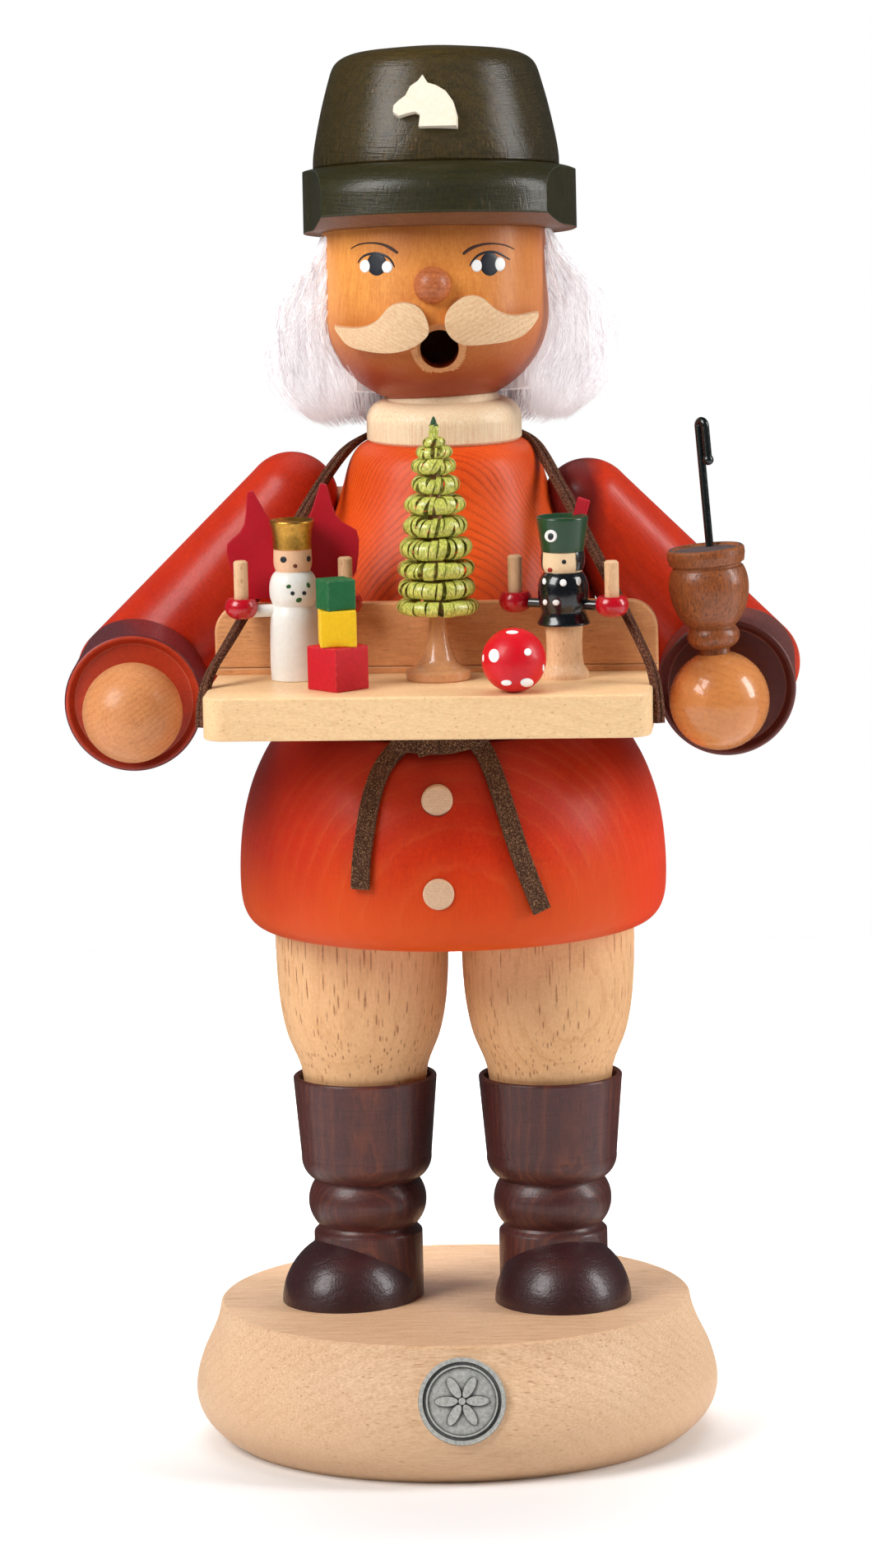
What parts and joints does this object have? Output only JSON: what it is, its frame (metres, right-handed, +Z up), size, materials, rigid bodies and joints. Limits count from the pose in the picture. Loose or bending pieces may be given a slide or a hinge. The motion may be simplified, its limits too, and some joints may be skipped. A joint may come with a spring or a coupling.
{
  "type": "wooden incense smoker figure",
  "caption": "Turned wooden incense smoker: a pipe-holding toy seller with a tray of toys on a round base; the hollow upper half lifts off a metal cone plate and smoke leaves by the mouth.",
  "frame": {"origin": "middle of the round base's underside, on the surface it stands on", "axes": "+Z up, -Y towards the front that the figure faces, +X to the viewer's right"},
  "size_m": [0.1314, 0.1099, 0.2508],
  "materials": {
    "beech": "pale waxed beech, fine flecks",
    "clear_wood": "clear-lacquered pale wood",
    "face_stain": "orange-tan translucent stain over wood, satin",
    "hair_fur": "fluffy white fur",
    "hand_stain": "tan translucent stain over wood, glossy",
    "lacquer_maroon": "dark maroon lacquer, glossy",
    "paint_black": "black toy paint on wood, glossy",
    "paint_green": "green toy paint on wood",
    "paint_red": "bright red toy paint on wood",
    "paint_white": "white toy paint on wood",
    "paint_yellow": "yellow toy paint on wood",
    "pewter": "cast pewter-coloured coin, dark in the recesses",
    "plate_metal": "thin pressed sheet, dull",
    "small_wood": "plain pale pegs",
    "stained_green": "dark olive green stain, glossy",
    "stained_maroon": "dark red-brown stain, glossy",
    "stained_red": "orange-red translucent stain, growth rings showing, satin",
    "strap_leather": "thin dark brown leather lace",
    "suede": "thin dark brown suede lace",
    "tray_wood": "pale waxed wood",
    "walnut_brown": "brown stain, mottled, glossy",
    "wire": "thin bent wire, black, glossy",
    "wood_curl": "thin wood shavings, yellow-green dye"
  },
  "bodies": {
    "lower_body": {"base_disc": "beech", "base_medallion": "pewter", "boot_left": "stained_maroon", "boot_right": "stained_maroon", "toe_cap_left": "stained_maroon", "toe_cap_right": "stained_maroon", "leg_left": "beech", "leg_right": "beech", "leg_dowels": "beech", "coat_skirt": "stained_red", "coat_buttons": "beech", "incense_plate": "plate_metal", "plate_nail": "plate_metal"},
    "upper_body": {"torso": "stained_red", "collar": "beech", "head": "face_stain", "nose": "face_stain", "moustache_left": "beech", "moustache_right": "beech", "hair": "hair_fur", "hat_brim": "stained_green", "hat_crown": "stained_green", "hat_badge": "beech", "sleeve_left": "stained_red", "sleeve_right": "stained_red", "forearm_left": "lacquer_maroon", "forearm_right": "lacquer_maroon", "shoulder_dowels": "beech", "hand_left": "hand_stain", "hand_right": "hand_stain", "pipe_bowl": "walnut_brown", "pipe_stem": "wire", "neck_strap": "strap_leather", "belt_lace": "suede", "belt_knot": "suede", "belt_end_left": "suede", "belt_end_right": "suede", "tray_board": "tray_wood", "tray_wall": "tray_wood", "tree_foot": "clear_wood", "tree_curls": "wood_curl", "angel_figure": "paint_white", "angel_arms": "paint_white", "angel_cups": "paint_red", "angel_candles": "small_wood", "angel_wings": "paint_red", "miner_figure": "paint_black", "miner_arms": "paint_black", "miner_cups": "paint_red", "miner_candles": "small_wood", "miner_plume": "paint_red", "block_red": "paint_red", "block_yellow": "paint_yellow", "block_green": "paint_green", "toy_ball": "paint_red"}
  },
  "joints": [
    {"name": "upper_body_lift", "type": "slide", "parent": "lower_body", "child": "upper_body", "axis": [0, 0, 1], "range_m": [0, 0.06]}
  ]
}
